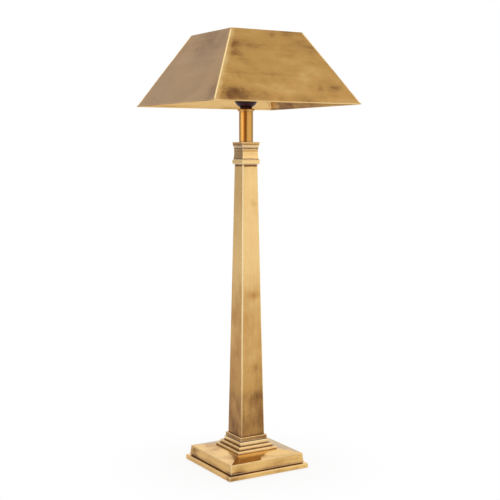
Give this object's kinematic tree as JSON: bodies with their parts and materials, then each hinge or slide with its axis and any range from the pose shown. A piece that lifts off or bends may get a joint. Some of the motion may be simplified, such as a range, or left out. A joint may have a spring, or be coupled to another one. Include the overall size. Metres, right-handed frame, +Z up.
{
  "type": "table lamp",
  "caption": "Column table lamp with a square stepped base, a tapered square column, a small capital and a four-sided pyramid metal shade over a screw lampholder.",
  "frame": {"origin": "on the table, under the middle of the square base", "axes": "+Z up along the column; the base's and the shade's faces look along -X, +X, -Y and +Y, with the cord inlet in the base's back face, +Y"},
  "size_m": [0.281, 0.281, 0.7499],
  "materials": {
    "felt": "dark brown wool felt",
    "zinc_steel": "zinc plated",
    "cast_iron": "as cast, rough",
    "cast_brass": "antique brass, polished and lacquered",
    "column_brass": "antique brass sheet, satin, with faint upright grain",
    "tube_brass": "antique brass, polished",
    "black_nylon": "matt moulded",
    "rod_brass": "turned, plain",
    "bakelite": "polished moulding, near black",
    "porcelain": "glazed",
    "arm_brass": "antique brass, dull",
    "shade_brass": "antique brass sheet, satin, mottled",
    "opal_glass": "opal white",
    "lamp_cap_metal": "bright, rolled thread",
    "black_glass": "glossy black",
    "solder": "dull solder"
  },
  "bodies": {
    "stand": {"felt_pad": "felt", "base_plate": "zinc_steel", "base_plate_screws": "zinc_steel", "base_nut": "zinc_steel", "base_lock_washer": "zinc_steel", "base_washer": "zinc_steel", "column_foot_plate": "zinc_steel", "base_weight": "cast_iron", "foot": "cast_brass", "plinth": "cast_brass", "step_lowest": "cast_brass", "step_middle": "cast_brass", "step_upper": "cast_brass", "column_collar": "cast_brass", "astragal": "cast_brass", "capital_neck": "cast_brass", "capital_cap": "cast_brass", "column": "column_brass", "neck_tube": "tube_brass", "check_ring": "tube_brass", "cord_bush": "black_nylon", "cord_bush_nut": "black_nylon", "tie_rod": "rod_brass", "earth_screw": "rod_brass", "earth_washer": "rod_brass", "holder_insert": "rod_brass", "screw_shell": "rod_brass", "centre_contact": "rod_brass", "terminal_screws": "rod_brass", "holder_grub_screw": "rod_brass", "holder_dome": "bakelite", "holder_skirt": "bakelite", "lower_shade_ring": "bakelite", "holder_core": "porcelain"},
    "shade_ring": {"upper_shade_ring": "bakelite"},
    "shade": {"shade_carrier": "arm_brass", "carrier_rivets": "arm_brass", "shade_panel_front": "shade_brass", "shade_arm_front": "arm_brass", "shade_panel_right": "shade_brass", "shade_arm_right": "arm_brass", "shade_panel_back": "shade_brass", "shade_arm_back": "arm_brass", "shade_panel_left": "shade_brass", "shade_arm_left": "arm_brass"},
    "bulb": {"bulb_contact": "solder", "bulb_insulator": "black_glass", "bulb_cap": "lamp_cap_metal", "bulb_glass": "opal_glass"}
  },
  "joints": [
    {"name": "shade_lift", "type": "slide", "parent": "stand", "child": "shade_ring", "axis": [0, 0, 1], "range_m": [0, 0.125]},
    {"name": "shade_swivel", "type": "hinge", "parent": "shade_ring", "child": "shade", "pos_m": [0, 0, 0.6584], "axis": [0, 0, 1], "continuous": true},
    {"name": "bulb_out", "type": "slide", "parent": "stand", "child": "bulb", "axis": [0, 0, 1], "range_m": [0, 0.105]}
  ]
}
